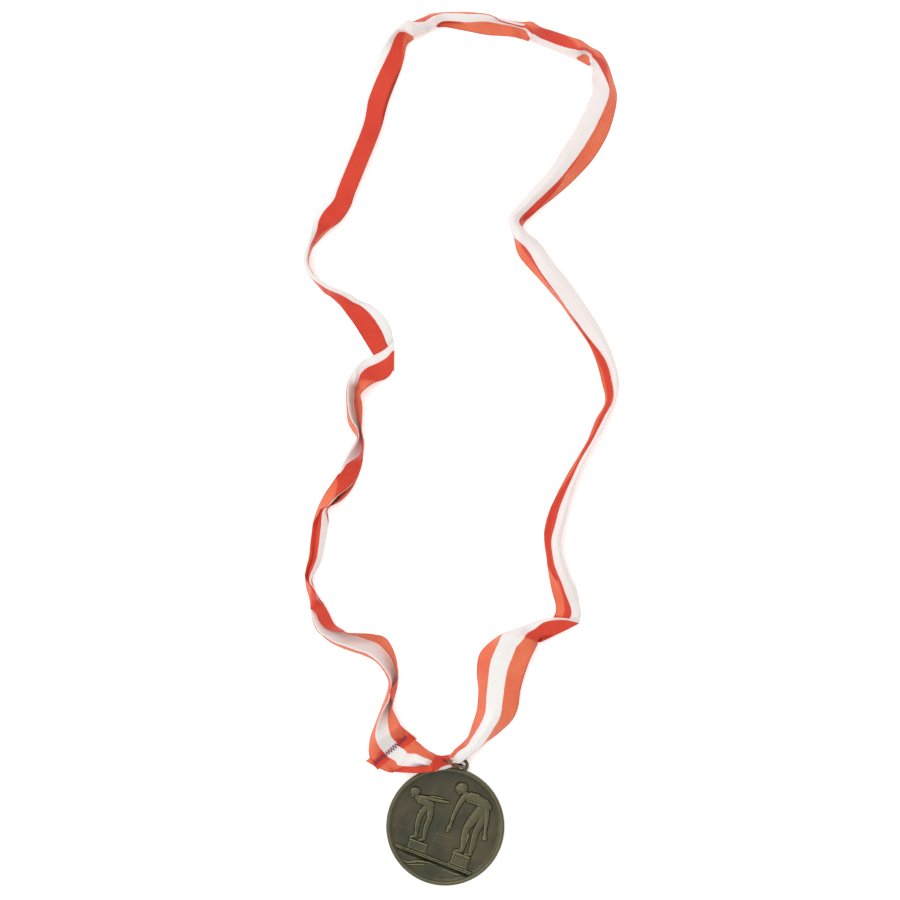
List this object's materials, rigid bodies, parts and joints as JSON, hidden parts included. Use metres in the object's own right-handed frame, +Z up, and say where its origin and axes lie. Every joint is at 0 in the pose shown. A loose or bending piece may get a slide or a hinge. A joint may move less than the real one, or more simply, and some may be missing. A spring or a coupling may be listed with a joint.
{
  "type": "sports finisher medal",
  "caption": "Round cast medal with a swimming relief, hung by a wire jump ring from a sewn three-stripe neck ribbon.",
  "frame": {"origin": "centre of the disc's flat back face, on the surface that the medal lies on", "axes": "+Z up out of the relief, +Y from the disc towards the far end of the ribbon loop, +X to the right of the relief"},
  "size_m": [0.1324, 0.3687, 0.0106],
  "materials": {
    "medal": "dark antique bronze patina with rubbed highlights",
    "jump_ring": "dark bronzed wire",
    "ribbon": "ribbed woven ribbon, red, white and red in equal stripes",
    "thread": "maroon polyester sewing thread"
  },
  "bodies": {
    "neck_ribbon": {"ribbon": "ribbon", "needle_thread": "thread", "bobbin_thread": "thread"},
    "ring": {"jump_ring": "jump_ring"},
    "disc": {"medal": "medal"}
  },
  "joints": [
    {"name": "ring_tilt", "type": "hinge", "parent": "neck_ribbon", "child": "ring", "pos_m": [0.0037, 0.0271, 0.0053], "axis": [-1, 0, 0], "range_deg": [0, 60], "deforming": ["ribbon"]},
    {"name": "medal_swing", "type": "hinge", "parent": "ring", "child": "disc", "pos_m": [0.00694, 0.02589, 0.0024], "axis": [0, 0, 1], "range_deg": [-8, 40]}
  ]
}
